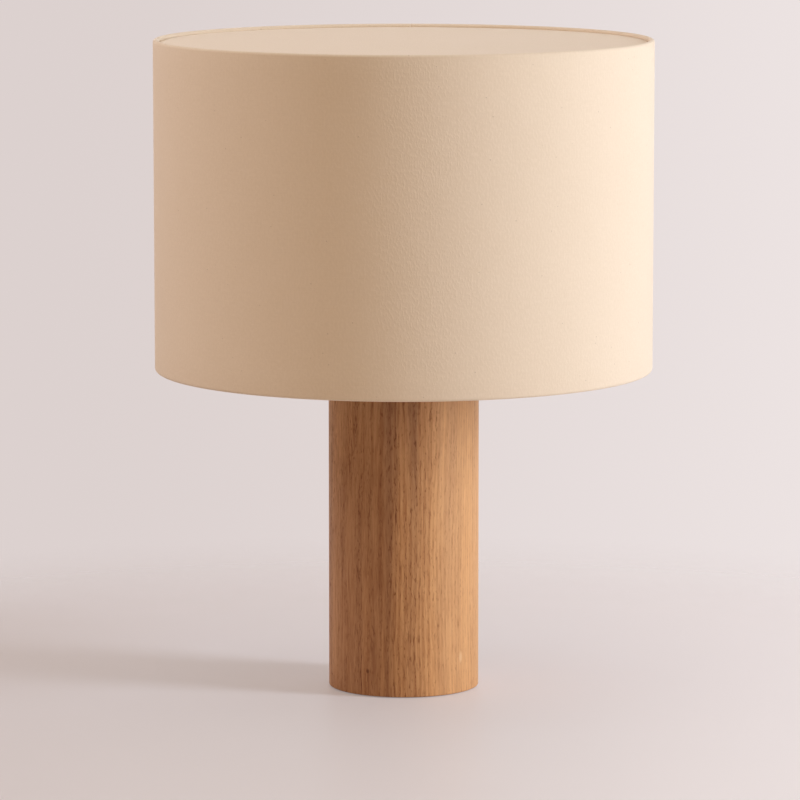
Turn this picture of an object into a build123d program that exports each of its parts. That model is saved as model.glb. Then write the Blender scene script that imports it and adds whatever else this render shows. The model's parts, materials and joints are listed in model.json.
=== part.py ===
"""Table lamp: a turned oak column carries an E27 lampholder, and the lampholder carries a fabric drum
shade with a recessed diffuser in its top. Millimetres, +Z up, origin on the floor under the column's
axis, front towards -Y, lead outlet at the back, +Y."""

import os
from math import degrees, sqrt

from build123d import *

# Oak column and its foot
column_diameter = 121.0
column_height = 257.6
column_edge_radius = 0.8
felt_thickness = 1.5
felt_proud = 0.4  # below the oak, so that the lamp stands on felt alone
felt_setback = 4.0  # felt's edge inside the column's edge
felt_clearance = 0.3  # around the felt in its rebate
cover_thickness = 4.0
cover_setback = 10.5  # rebate for the cover inside the column's edge
cover_land = 12.0  # seat around the well that the cover is screwed to
cover_clearance = 0.2
well_depth = 34.0
ballast_thickness = 12.0
ballast_clearance = 0.5

# Wood screws that hold the cover
cover_screw_count = 3
screw_diameter = 3.5
screw_length = 16.0
screw_head_diameter = 7.0
screw_tip_length = 3.0

# Lead outlet in the back of the column
outlet_height = 13.5  # above the felt's seat
bush_bore = 7.0
bush_wall = 1.5
bush_length = 20.0
bush_flange_diameter = 16.0
bush_flange_thickness = 1.6
bush_seat_depth = 1.0  # flat spot-faced into the round column
bush_clearance = 0.1

# Threaded tube and what it clamps
tube_diameter = 10.0
tube_wall = 1.25
tube_clearance = 0.5  # loose in the column and the plates
thread_clearance = 0.1  # between mating threads, drawn smooth
tube_tail = 3.0  # below the clamp nut
nut_across_flats = 14.0
clamp_nut_height = 5.0
lock_nut_height = 4.0
clamp_washer_diameter = 30.0
clamp_washer_thickness = 2.0
column_cap_diameter = 50.0
column_cap_thickness = 3.0
column_cap_edge = 1.2

# Lampholder for an E27 bulb
neck_diameter = 16.0
neck_height = 8.0
holder_cap_height = 20.0
holder_cap_diameter = 41.0
holder_shoulder_diameter = 33.6
holder_shoulder_height = 4.0
holder_floor = 3.5
holder_floor_taper = 3.6
spigot_height = 4.5
spigot_wall = 1.6
spigot_clearance = 0.2
insert_ledge = 1.8
skirt_flange_diameter = 46.0
skirt_flange_height = 4.0
skirt_thread_diameter = 39.5
skirt_wall = 2.55
skirt_mouth_gap = 0.5  # below the bulb's housing
bulb_bore = 27.0
lock_screw_diameter = 3.0
lock_screw_proud = 0.3

# Contact insert, its contacts and terminal screws
insert_seat_depth = 4.0  # ledge below the top of the lampholder's cap
insert_block_diameter = 15.0
insert_block_height = 11.5
contact_thickness = 0.6
contact_width = 6.0
contact_rise = 2.3
side_contact_height = 12.0
contact_slot_clearance = 0.5
terminal_margin = 0.9  # from a screw's head to the cap's wall
terminal_screw_diameter = 2.5
terminal_head_diameter = 4.4
terminal_head_height = 2.2

# Push-bar switch across the lampholder's cap
switch_bar_diameter = 5.0
switch_travel = 7.0
switch_projection = 3.5  # least length that stands out of the cap
switch_height = 10.5  # bar's axis above the neck
switch_end_radius = 1.5
switch_clearance = 0.3

# Clamp ring that holds the shade on the lampholder
ring_flange_diameter = 57.0
ring_flange_thickness = 2.5
ring_collar_diameter = 50.0
ring_collar_height = 6.5
ring_groove_count = 24
ring_groove_diameter = 2.4
ring_thread_clearance = 0.25
ring_washer_diameter = 54.0
ring_washer_thickness = 1.0
ring_washer_clearance = 0.45

# Shade frame
fitter_diameter = 66.0
fitter_thickness = 2.0
fitter_clearance = 0.75
spider_drop = 39.0  # fitter ring's seat above the shade's lower edge
spoke_count = 3
spoke_diameter = 4.0
spoke_bend_radius = 12.0
spoke_inner_gap = 2.5  # from the skirt's flange to a spoke's inner end
spoke_flat_length = 10.0  # level run at each end of a spoke
weld_gap = 0.02
rim_wire_diameter = 2.4
lug_count = 4
lug_width = 10.0
lug_thickness = 1.0
lug_reach = 9.0  # under the diffuser

# Shade skin
shade_diameter = 400.0
shade_height = 265.5
fabric_thickness = 0.4
liner_thickness = 0.5
glue_line = 0.3
hem_depth = 9.0  # fabric turned in over each rim wire
hem_notch_margin = 1.2  # hem cut back around each spoke and lug
seam_overlap = 12.0
seam_step = 0.4

# Diffuser in the top of the shade
diffuser_recess = 2.8  # below the shade's upper edge
diffuser_thickness = 2.0
diffuser_clearance = 0.6

# E27 bulb
bulb_contact_diameter = 9.0
bulb_contact_height = 1.5
bulb_insulator_height = 4.0
bulb_insulator_diameter = 22.0
bulb_cap_diameter = 26.4
bulb_cap_height = 21.0
bulb_cap_taper = 2.5
bulb_neck_diameter = 27.8
bulb_neck_height = 4.0
bulb_dome_diameter = 60.0
bulb_dome_cut = 20.0  # lower edge of the dome below the dome's centre
bulb_dome_wall = 1.2
bulb_length = 108.0

# Levels up the column
column_bottom = felt_proud
column_top = column_bottom + column_height
felt_seat = felt_thickness
well_top = felt_seat + well_depth
ballast_bottom = well_top - ballast_thickness
clamp_washer_bottom = ballast_bottom - clamp_washer_thickness
clamp_nut_bottom = clamp_washer_bottom - clamp_nut_height
tube_bottom = clamp_nut_bottom - tube_tail
outlet_level = felt_seat + outlet_height

# Levels up the lampholder
lock_nut_bottom = column_top + column_cap_thickness
neck_bottom = lock_nut_bottom + lock_nut_height
neck_top = neck_bottom + neck_height
tube_top = neck_top + holder_floor / 2
holder_cap_top = neck_top + holder_cap_height
insert_seat = holder_cap_top - insert_seat_depth
fitter_seat = holder_cap_top + skirt_flange_height
insert_top = holder_cap_top + spigot_height + spigot_clearance
switch_level = neck_top + switch_height
ring_washer_bottom = fitter_seat + fitter_thickness
ring_bottom = ring_washer_bottom + ring_washer_thickness

# Levels up the bulb
bulb_bottom = insert_top + contact_rise
bulb_insulator_bottom = bulb_bottom + bulb_contact_height
bulb_cap_bottom = bulb_insulator_bottom + bulb_insulator_height
bulb_cap_top = bulb_cap_bottom + bulb_cap_height
skirt_top = bulb_cap_top - skirt_mouth_gap
bulb_top = bulb_bottom + bulb_length
dome_centre = bulb_top - bulb_dome_diameter / 2
dome_bottom = dome_centre - bulb_dome_cut

# Levels up the shade
shade_bottom = fitter_seat - spider_drop
shade_top = shade_bottom + shade_height
diffuser_top = shade_top - diffuser_recess
diffuser_fabric_bottom = diffuser_top - fabric_thickness
diffuser_bottom = diffuser_fabric_bottom - diffuser_thickness

# Radii of the foot
column_radius = column_diameter / 2
felt_radius = column_radius - felt_setback
cover_seat_radius = column_radius - cover_setback
well_radius = cover_seat_radius - cover_land
cover_screw_circle = (cover_seat_radius + well_radius) / 2
tube_radius = tube_diameter / 2
loose_bore_radius = tube_radius + tube_clearance
bush_radius = bush_bore / 2 + bush_wall
bush_seat = column_radius - bush_seat_depth

# Radii of the lampholder, from the outside in
skirt_thread_radius = skirt_thread_diameter / 2
spigot_socket_radius = skirt_thread_radius - skirt_wall
spigot_radius = spigot_socket_radius - spigot_clearance
insert_bore_radius = spigot_radius - spigot_wall
insert_radius = insert_bore_radius - spigot_clearance
holder_cavity_radius = insert_bore_radius - insert_ledge
terminal_circle = holder_cavity_radius - terminal_margin - terminal_head_diameter / 2
neck_bore_radius = tube_radius + thread_clearance
bulb_bore_radius = bulb_bore / 2
side_contact_inner = (bulb_bore + bulb_cap_diameter) / 4
side_contact_outer = side_contact_inner + contact_thickness

# Radii of the shade's rim, from the outside in: fabric, liner, wire, turned-in fabric
shade_radius = shade_diameter / 2
liner_radius = shade_radius - fabric_thickness - glue_line
rim_wire_radius = rim_wire_diameter / 2
rim_wire_circle = liner_radius - liner_thickness - glue_line - rim_wire_radius
hem_outer_radius = rim_wire_circle - rim_wire_radius - glue_line
hem_inner_radius = hem_outer_radius - fabric_thickness
rim_fold_radius = (shade_radius - hem_inner_radius) / 2
rim_fold_circle = shade_radius - rim_fold_radius
lower_fold = shade_bottom + rim_fold_radius
upper_fold = shade_top - rim_fold_radius
diffuser_radius = hem_inner_radius - diffuser_clearance

# Planes that pieces are drilled or laid out from
underside = Plane(origin=(0, 0, felt_seat), x_dir=(1, 0, 0), z_dir=(0, 0, -1))
outlet_plane = Plane(origin=(0, column_radius, outlet_level), x_dir=(1, 0, 0), z_dir=(0, 1, 0))
standing = (Align.CENTER, Align.CENTER, Align.MIN)

os.makedirs("parts", exist_ok=True)


def save(piece, node):
    piece.part.label = node
    export_step(piece.part, f"parts/{node}.step")


def radial_plane(angle):
    """Upright plane through the lamp's axis: local X points outwards at that angle, local Y up."""
    outwards = Vector(1, 0, 0).rotate(Axis.Z, angle)
    return Plane(origin=(0, 0, 0), x_dir=outwards, z_dir=outwards.rotate(Axis.Z, -90))


def polar_angles(count, first):
    return [first + 360 * index / count for index in range(count)]


spoke_angles = polar_angles(spoke_count, 90)
lug_angles = polar_angles(lug_count, 45)

# Felt pad, glued into the foot
with BuildPart() as felt_pad:
    with BuildSketch():
        Circle(felt_radius)
    extrude(amount=felt_thickness)
save(felt_pad, "felt_pad")

# Oak column: rebates and well from below, bore for the tube, outlet through the back
with BuildPart() as oak_column:
    with BuildSketch(Plane.XY.offset(column_bottom)):
        Circle(column_radius)
    extrude(amount=column_height)
    fillet(oak_column.edges().filter_by(GeomType.CIRCLE), radius=column_edge_radius)
    with BuildSketch(Plane.XY.offset(column_bottom)):
        Circle(felt_radius + felt_clearance)
    extrude(amount=felt_seat - column_bottom, mode=Mode.SUBTRACT)
    with Locations(underside):
        CounterBoreHole(well_radius, cover_seat_radius, cover_thickness, depth=well_depth)
        with PolarLocations(cover_screw_circle, cover_screw_count):
            Hole(screw_diameter / 2, depth=screw_length)
    with Locations((0, 0, column_top)):
        Hole(loose_bore_radius, depth=column_height)
    with Locations(outlet_plane):
        CounterBoreHole(
            bush_radius + bush_clearance,
            bush_flange_diameter / 2 + bush_clearance,
            bush_seat_depth,
            depth=column_radius,
        )
save(oak_column, "oak_column")

# Cover that closes the well, countersunk for its screws
with BuildPart() as base_cover:
    with BuildSketch(Plane.XY.offset(felt_seat)):
        Circle(cover_seat_radius - cover_clearance)
    extrude(amount=cover_thickness)
    with Locations(underside):
        with PolarLocations(cover_screw_circle, cover_screw_count):
            CounterSinkHole(screw_diameter / 2, screw_head_diameter / 2, counter_sink_angle=90)
save(base_cover, "base_cover")

# Countersunk wood screws, heads flush with the cover
screw_head_height = (screw_head_diameter - screw_diameter) / 2
screw_shank_length = screw_length - screw_head_height - screw_tip_length
with BuildPart() as cover_screws:
    with Locations(Plane.XY.offset(felt_seat)):
        with PolarLocations(cover_screw_circle, cover_screw_count):
            Cone(screw_head_diameter / 2, screw_diameter / 2, screw_head_height, align=standing)
    with Locations(Plane.XY.offset(felt_seat + screw_head_height)):
        with PolarLocations(cover_screw_circle, cover_screw_count):
            Cylinder(screw_diameter / 2, screw_shank_length, align=standing)
    with Locations(Plane.XY.offset(felt_seat + screw_length - screw_tip_length)):
        with PolarLocations(cover_screw_circle, cover_screw_count):
            Cone(screw_diameter / 2, 0, screw_tip_length, align=standing)
save(cover_screws, "cover_screws")

# Bush in the lead outlet: sleeve through the wall, flange on its flat seat
with BuildPart() as cord_bush:
    with BuildSketch(Plane.XZ.offset(-bush_seat)):
        with Locations((0, outlet_level)):
            Circle(bush_flange_diameter / 2)
    extrude(amount=-bush_flange_thickness)
    fillet(cord_bush.edges().group_by(Axis.Y)[-1], radius=bush_flange_thickness / 2)
    with BuildSketch(Plane.XZ.offset(-bush_seat)):
        with Locations((0, outlet_level)):
            Circle(bush_radius)
    extrude(amount=bush_length)
    with Locations(outlet_plane.offset(bush_flange_thickness)):
        Hole(bush_bore / 2, depth=column_radius)
save(cord_bush, "cord_bush")

# Ballast and the washer that spreads the clamp nut's load
with BuildPart() as ballast_weight:
    with BuildSketch(Plane.XY.offset(ballast_bottom)):
        Circle(well_radius - ballast_clearance)
        Circle(loose_bore_radius, mode=Mode.SUBTRACT)
    extrude(amount=ballast_thickness)
save(ballast_weight, "ballast_weight")

with BuildPart() as clamp_washer:
    with BuildSketch(Plane.XY.offset(clamp_washer_bottom)):
        Circle(clamp_washer_diameter / 2)
        Circle(loose_bore_radius, mode=Mode.SUBTRACT)
    extrude(amount=clamp_washer_thickness)
save(clamp_washer, "clamp_washer")

# Threaded tube, from the well up into the lampholder's neck
with BuildPart() as threaded_tube:
    with BuildSketch(Plane.XY.offset(tube_bottom)):
        Circle(tube_radius)
        Circle(tube_radius - tube_wall, mode=Mode.SUBTRACT)
    extrude(amount=tube_top - tube_bottom)
save(threaded_tube, "threaded_tube")

# Hexagon nuts on the tube, their corners turned off
nut_corner_radius = nut_across_flats / sqrt(3)
nut_corner_drop = (nut_corner_radius - nut_across_flats / 2) / 2
nuts = {"clamp_nut": (clamp_nut_bottom, clamp_nut_height), "lock_nut": (lock_nut_bottom, lock_nut_height)}
for node, (nut_bottom, nut_height) in nuts.items():
    nut_top = nut_bottom + nut_height
    with BuildPart() as nut:
        with BuildSketch(Plane.XY.offset(nut_bottom)):
            RegularPolygon(nut_across_flats / 2, 6, major_radius=False)
            Circle(neck_bore_radius, mode=Mode.SUBTRACT)
        extrude(amount=nut_height)
        with BuildSketch(Plane.XZ):
            with BuildLine():
                Polyline(
                    (0, nut_bottom),
                    (nut_across_flats / 2, nut_bottom),
                    (nut_corner_radius, nut_bottom + nut_corner_drop),
                    (nut_corner_radius, nut_top - nut_corner_drop),
                    (nut_across_flats / 2, nut_top),
                    (0, nut_top),
                    close=True,
                )
            make_face()
        revolve(axis=Axis.Z, mode=Mode.INTERSECT)
    save(nut, node)

# Plate on top of the column
with BuildPart() as column_cap:
    with BuildSketch(Plane.XY.offset(column_top)):
        Circle(column_cap_diameter / 2)
    extrude(amount=column_cap_thickness)
    fillet(column_cap.edges().group_by(Axis.Z)[-1], radius=column_cap_edge)
    with Locations((0, 0, lock_nut_bottom)):
        Hole(loose_bore_radius)
save(column_cap, "column_cap")

# Lampholder cap: neck on the tube, domed cup, spigot that the skirt screws on to
with BuildPart() as lampholder_cap:
    with BuildSketch(Plane.XZ):
        with BuildLine():
            Polyline(
                (neck_bore_radius, neck_top + holder_floor),
                (neck_bore_radius, neck_bottom),
                (neck_diameter / 2, neck_bottom),
                (neck_diameter / 2, neck_top),
            )
            TangentArc(
                (neck_diameter / 2, neck_top),
                (holder_shoulder_diameter / 2, neck_top + holder_shoulder_height),
                tangent=(1, 0),
            )
            Polyline(
                (holder_shoulder_diameter / 2, neck_top + holder_shoulder_height),
                (holder_cap_diameter / 2, holder_cap_top),
                (spigot_radius, holder_cap_top),
                (spigot_radius, holder_cap_top + spigot_height),
                (insert_bore_radius, holder_cap_top + spigot_height),
                (insert_bore_radius, insert_seat),
                (holder_cavity_radius, insert_seat),
                (holder_cavity_radius, neck_top + holder_floor + holder_floor_taper),
                (holder_cavity_radius - holder_floor_taper, neck_top + holder_floor),
                (neck_bore_radius, neck_top + holder_floor),
            )
        make_face()
    revolve(axis=Axis.Z)
    with Locations((0, 0, switch_level)):
        Cylinder(
            switch_bar_diameter / 2 + switch_clearance,
            2 * holder_cap_diameter,
            rotation=(0, 90, 0),
            mode=Mode.SUBTRACT,
        )
    with BuildSketch(Plane.XZ):
        with Locations((0, neck_bottom + neck_height / 2)):
            Circle(lock_screw_diameter / 2)
    extrude(amount=-neck_diameter, mode=Mode.SUBTRACT)
save(lampholder_cap, "lampholder_cap")

# Grub screw that stops the cap turning on the tube
with BuildPart() as cap_lock_screw:
    with BuildSketch(Plane.XZ.offset(-neck_bore_radius)):
        with Locations((0, neck_bottom + neck_height / 2)):
            Circle(lock_screw_diameter / 2)
    extrude(amount=neck_bore_radius - neck_diameter / 2 - lock_screw_proud)
save(cap_lock_screw, "cap_lock_screw")

# Contact insert: disc clamped between cap and skirt, block below that carries the switch bar
with BuildPart() as lampholder_insert:
    with BuildSketch(Plane.XY.offset(insert_seat)):
        Circle(insert_radius)
        with Locations((-terminal_circle, 0), (terminal_circle, 0)):
            Circle(terminal_screw_diameter / 2, mode=Mode.SUBTRACT)
    extrude(amount=insert_top - insert_seat)
    with BuildSketch(Plane.XY.offset(insert_seat)):
        Circle(insert_block_diameter / 2)
    extrude(amount=-insert_block_height)
    with Locations((0, 0, switch_level)):
        Cylinder(
            switch_bar_diameter / 2 + switch_clearance,
            2 * insert_block_diameter,
            rotation=(0, 90, 0),
            mode=Mode.SUBTRACT,
        )
save(lampholder_insert, "lampholder_insert")

# Terminal screws, up through the insert to the feet of the contacts
with BuildPart() as terminal_screws:
    with BuildSketch(Plane.XY.offset(insert_seat)):
        with Locations((-terminal_circle, 0), (terminal_circle, 0)):
            Circle(terminal_head_diameter / 2)
    extrude(amount=-terminal_head_height)
    with BuildSketch(Plane.XY.offset(insert_seat)):
        with Locations((-terminal_circle, 0), (terminal_circle, 0)):
            Circle(terminal_screw_diameter / 2)
    extrude(amount=insert_top - insert_seat)
save(terminal_screws, "terminal_screws")

# Centre contact: foot over one terminal, tongue sprung up to the axis
tongue_top = insert_top + contact_rise
with BuildPart() as centre_contact:
    with BuildSketch(Plane.XZ):
        with BuildLine():
            Polyline(
                (-terminal_circle - terminal_screw_diameter, insert_top),
                (-terminal_circle + terminal_screw_diameter, insert_top),
                (-bulb_contact_diameter / 2, tongue_top - contact_thickness),
                (bulb_contact_diameter / 2, tongue_top - contact_thickness),
                (bulb_contact_diameter / 2, tongue_top),
                (-bulb_contact_diameter / 2 - contact_thickness, tongue_top),
                (-terminal_circle + terminal_screw_diameter - contact_thickness, insert_top + contact_thickness),
                (-terminal_circle - terminal_screw_diameter, insert_top + contact_thickness),
                close=True,
            )
        make_face()
    extrude(amount=contact_width / 2, both=True)
save(centre_contact, "centre_contact")

# Side contact: foot over the other terminal, leg up the skirt's bore
with BuildPart() as side_contact:
    with BuildSketch(Plane.XZ):
        with BuildLine():
            Polyline(
                (terminal_circle - terminal_screw_diameter, insert_top),
                (side_contact_outer, insert_top),
                (side_contact_outer, insert_top + side_contact_height),
                (side_contact_inner, insert_top + side_contact_height),
                (side_contact_inner, insert_top + contact_thickness),
                (terminal_circle - terminal_screw_diameter, insert_top + contact_thickness),
                close=True,
            )
        make_face()
    extrude(amount=contact_width / 2, both=True)
save(side_contact, "side_contact")

# Lampholder skirt: socket over the spigot, shoulder that the shade sits on, bore for the bulb
with BuildPart() as lampholder_skirt:
    with BuildSketch(Plane.XZ):
        with BuildLine():
            Polyline(
                (spigot_socket_radius, holder_cap_top),
                (skirt_flange_diameter / 2, holder_cap_top),
                (skirt_flange_diameter / 2, fitter_seat),
                (skirt_thread_radius, fitter_seat),
                (skirt_thread_radius, skirt_top),
                (bulb_bore_radius, skirt_top),
                (bulb_bore_radius, insert_top),
                (spigot_socket_radius, insert_top),
                close=True,
            )
        make_face()
    revolve(axis=Axis.Z)
    with BuildSketch(Plane.XY.offset(insert_top)):
        Rectangle(
            2 * (side_contact_outer + contact_slot_clearance),
            contact_width + 2 * contact_slot_clearance,
        )
        Rectangle(
            side_contact_outer + contact_slot_clearance,
            contact_width + 2 * contact_slot_clearance,
            align=(Align.MAX, Align.CENTER),
            mode=Mode.SUBTRACT,
        )
    extrude(amount=side_contact_height + contact_slot_clearance, mode=Mode.SUBTRACT)
save(lampholder_skirt, "lampholder_skirt")

# Push bar of the switch, shown pushed towards -X
bar_length = holder_cap_diameter + 2 * switch_projection + switch_travel
with BuildPart() as switch_bar:
    with Locations((-switch_travel / 2, 0, switch_level)):
        Cylinder(switch_bar_diameter / 2, bar_length, rotation=(0, 90, 0))
    fillet(switch_bar.edges().filter_by(GeomType.CIRCLE), radius=switch_end_radius)
save(switch_bar, "switch_bar")

# Washer and clamp ring on the skirt's thread
with BuildPart() as ring_washer:
    with BuildSketch(Plane.XY.offset(ring_washer_bottom)):
        Circle(ring_washer_diameter / 2)
        Circle(skirt_thread_radius + ring_washer_clearance, mode=Mode.SUBTRACT)
    extrude(amount=ring_washer_thickness)
save(ring_washer, "ring_washer")

with BuildPart() as shade_ring:
    with BuildSketch(Plane.XY.offset(ring_bottom)):
        Circle(ring_flange_diameter / 2)
    extrude(amount=ring_flange_thickness)
    with BuildSketch(Plane.XY.offset(ring_bottom + ring_flange_thickness)):
        Circle(ring_collar_diameter / 2)
        with PolarLocations(ring_collar_diameter / 2, ring_groove_count):
            Circle(ring_groove_diameter / 2, mode=Mode.SUBTRACT)
    extrude(amount=ring_collar_height)
    with Locations((0, 0, ring_bottom + ring_flange_thickness + ring_collar_height)):
        Hole(skirt_thread_radius + ring_thread_clearance)
save(shade_ring, "shade_ring")

# Fitter ring that sits on the skirt's shoulder
with BuildPart() as fitter_ring:
    with BuildSketch(Plane.XY.offset(fitter_seat)):
        Circle(fitter_diameter / 2)
        Circle(skirt_thread_radius + fitter_clearance, mode=Mode.SUBTRACT)
    extrude(amount=fitter_thickness)
save(fitter_ring, "fitter_ring")

# Spokes: welded under the fitter ring, down to lie on the lower rim wire
spoke_start = skirt_flange_diameter / 2 + spoke_inner_gap
spoke_end = rim_wire_circle + rim_wire_radius / 2
spoke_high = fitter_seat - spoke_diameter / 2 - weld_gap
spoke_low = lower_fold + rim_wire_radius + spoke_diameter / 2 + weld_gap
with BuildPart() as spider_spokes:
    for angle in spoke_angles:
        with BuildLine(radial_plane(angle)) as spoke_path:
            FilletPolyline(
                (spoke_start, spoke_high),
                (spoke_start + spoke_flat_length, spoke_high),
                (spoke_end - spoke_flat_length, spoke_low),
                (spoke_end, spoke_low),
                radius=spoke_bend_radius,
            )
        with BuildSketch(Plane(origin=spoke_path.wire() @ 0, z_dir=spoke_path.wire() % 0)):
            Circle(spoke_diameter / 2)
        sweep(path=spoke_path.wire())
save(spider_spokes, "spider_spokes")

# Rim wires, inside the shade's two hems
for node, level in {"bottom_ring": lower_fold, "top_ring": upper_fold}.items():
    with BuildPart() as rim_wire:
        with Locations((0, 0, level)):
            Torus(rim_wire_circle, rim_wire_radius)
    save(rim_wire, node)

# Bent lugs, welded under the upper rim wire, that carry the diffuser
lug_outer = rim_wire_circle + lug_thickness / 2
lug_inner = rim_wire_circle - lug_thickness / 2
lug_end = diffuser_radius - lug_reach
lug_top = upper_fold - rim_wire_radius - weld_gap
with BuildPart() as diffuser_lugs:
    for angle in lug_angles:
        with BuildSketch(radial_plane(angle)):
            with BuildLine():
                Polyline(
                    (lug_inner, lug_top),
                    (lug_outer, lug_top),
                    (lug_outer, diffuser_bottom - lug_thickness),
                    (lug_end, diffuser_bottom - lug_thickness),
                    (lug_end, diffuser_bottom),
                    (lug_inner, diffuser_bottom),
                    close=True,
                )
            make_face()
        extrude(amount=lug_width / 2, both=True)
save(diffuser_lugs, "diffuser_lugs")

# Liner laminated to the back of the fabric
with BuildPart() as shade_liner:
    with BuildSketch(Plane.XY.offset(lower_fold)):
        Circle(liner_radius)
        Circle(liner_radius - liner_thickness, mode=Mode.SUBTRACT)
    extrude(amount=upper_fold - lower_fold)
save(shade_liner, "shade_liner")

# Fabric: wall, hems rolled over both wires, notches around spokes and lugs, lap seam at the back
inside_fold_radius = rim_fold_radius - fabric_thickness
spoke_notch_low = spoke_low - spoke_diameter / 2 - hem_notch_margin
lug_notch_high = diffuser_bottom + hem_notch_margin
seam_angle = degrees(seam_overlap / shade_radius)
with BuildPart() as shade_cover:
    with BuildSketch(Plane.XZ):
        with BuildLine():
            Line((shade_radius, lower_fold), (shade_radius, upper_fold))
            CenterArc((rim_fold_circle, upper_fold), rim_fold_radius, 0, 180)
            Polyline(
                (hem_inner_radius, upper_fold),
                (hem_inner_radius, shade_top - hem_depth),
                (hem_outer_radius, shade_top - hem_depth),
                (hem_outer_radius, upper_fold),
            )
            CenterArc((rim_fold_circle, upper_fold), inside_fold_radius, 0, 180)
            Line(
                (shade_radius - fabric_thickness, upper_fold),
                (shade_radius - fabric_thickness, lower_fold),
            )
            CenterArc((rim_fold_circle, lower_fold), inside_fold_radius, 180, 180)
            Polyline(
                (hem_outer_radius, lower_fold),
                (hem_outer_radius, shade_bottom + hem_depth),
                (hem_inner_radius, shade_bottom + hem_depth),
                (hem_inner_radius, lower_fold),
            )
            CenterArc((rim_fold_circle, lower_fold), rim_fold_radius, 180, 180)
        make_face()
    revolve(axis=Axis.Z)
    for angle in spoke_angles:
        with BuildSketch(radial_plane(angle)):
            with BuildLine():
                Polyline(
                    (hem_inner_radius - hem_notch_margin, spoke_notch_low),
                    (hem_outer_radius + glue_line / 2, spoke_notch_low),
                    (hem_outer_radius + glue_line / 2, shade_bottom + hem_depth + hem_notch_margin),
                    (hem_inner_radius - hem_notch_margin, shade_bottom + hem_depth + hem_notch_margin),
                    close=True,
                )
            make_face()
        extrude(amount=spoke_diameter / 2 + hem_notch_margin, both=True, mode=Mode.SUBTRACT)
    for angle in lug_angles:
        with BuildSketch(radial_plane(angle)):
            with BuildLine():
                Polyline(
                    (hem_inner_radius - hem_notch_margin, lug_notch_high),
                    (hem_outer_radius + glue_line / 2, lug_notch_high),
                    (hem_outer_radius + glue_line / 2, shade_top - hem_depth - hem_notch_margin),
                    (hem_inner_radius - hem_notch_margin, shade_top - hem_depth - hem_notch_margin),
                    close=True,
                )
            make_face()
        extrude(amount=lug_width / 2 + hem_notch_margin, both=True, mode=Mode.SUBTRACT)
    with BuildSketch(radial_plane(90 - seam_angle / 2)):
        with BuildLine():
            Polyline(
                (shade_radius - fabric_thickness, lower_fold),
                (shade_radius + seam_step, lower_fold),
                (shade_radius + seam_step, upper_fold),
                (shade_radius - fabric_thickness, upper_fold),
                close=True,
            )
        make_face()
    revolve(axis=Axis.Z, revolution_arc=seam_angle)
save(shade_cover, "shade_cover")

# Diffuser that lies on the lugs, with fabric glued on top
with BuildPart() as diffuser_panel:
    with BuildSketch(Plane.XY.offset(diffuser_bottom)):
        Circle(diffuser_radius)
    extrude(amount=diffuser_thickness)
save(diffuser_panel, "diffuser_panel")

with BuildPart() as diffuser_fabric:
    with BuildSketch(Plane.XY.offset(diffuser_fabric_bottom)):
        Circle(diffuser_radius)
    extrude(amount=fabric_thickness)
save(diffuser_fabric, "diffuser_fabric")

# Bulb: contact, insulator and screw cap
with BuildPart() as bulb_contact:
    with BuildSketch(Plane.XY.offset(bulb_bottom)):
        Circle(bulb_contact_diameter / 2)
    extrude(amount=bulb_contact_height)
    fillet(bulb_contact.edges().group_by(Axis.Z)[0], radius=bulb_contact_height / 3)
save(bulb_contact, "bulb_contact")

with BuildPart() as bulb_insulator:
    with Locations((0, 0, bulb_insulator_bottom)):
        Cone(bulb_contact_diameter / 2, bulb_insulator_diameter / 2, bulb_insulator_height, align=standing)
save(bulb_insulator, "bulb_insulator")

with BuildPart() as bulb_cap:
    with Locations((0, 0, bulb_cap_bottom)):
        Cone(bulb_insulator_diameter / 2, bulb_cap_diameter / 2, bulb_cap_taper, align=standing)
    with Locations((0, 0, bulb_cap_bottom + bulb_cap_taper)):
        Cylinder(bulb_cap_diameter / 2, bulb_cap_height - bulb_cap_taper, align=standing)
save(bulb_cap, "bulb_cap")

# Bulb: housing that flares from the cap to the dome, and the hollow dome
dome_radius = bulb_dome_diameter / 2
dome_edge_radius = sqrt(dome_radius**2 - bulb_dome_cut**2)
with BuildPart() as bulb_housing:
    with BuildSketch(Plane.XZ):
        with BuildLine():
            Polyline(
                (0, dome_bottom),
                (0, bulb_cap_top),
                (bulb_neck_diameter / 2, bulb_cap_top),
                (bulb_neck_diameter / 2, bulb_cap_top + bulb_neck_height),
            )
            TangentArc(
                (bulb_neck_diameter / 2, bulb_cap_top + bulb_neck_height),
                (dome_edge_radius, dome_bottom),
                tangent=(0, 1),
            )
            Line((dome_edge_radius, dome_bottom), (0, dome_bottom))
        make_face()
    revolve(axis=Axis.Z)
save(bulb_housing, "bulb_housing")

with BuildPart() as bulb_dome:
    with Locations((0, 0, dome_centre)):
        Sphere(dome_radius)
        Sphere(dome_radius - bulb_dome_wall, mode=Mode.SUBTRACT)
    split(bisect_by=Plane.XY.offset(dome_bottom), keep=Keep.TOP)
save(bulb_dome, "bulb_dome")
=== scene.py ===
import json
from math import cos, pi, radians, sin

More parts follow.
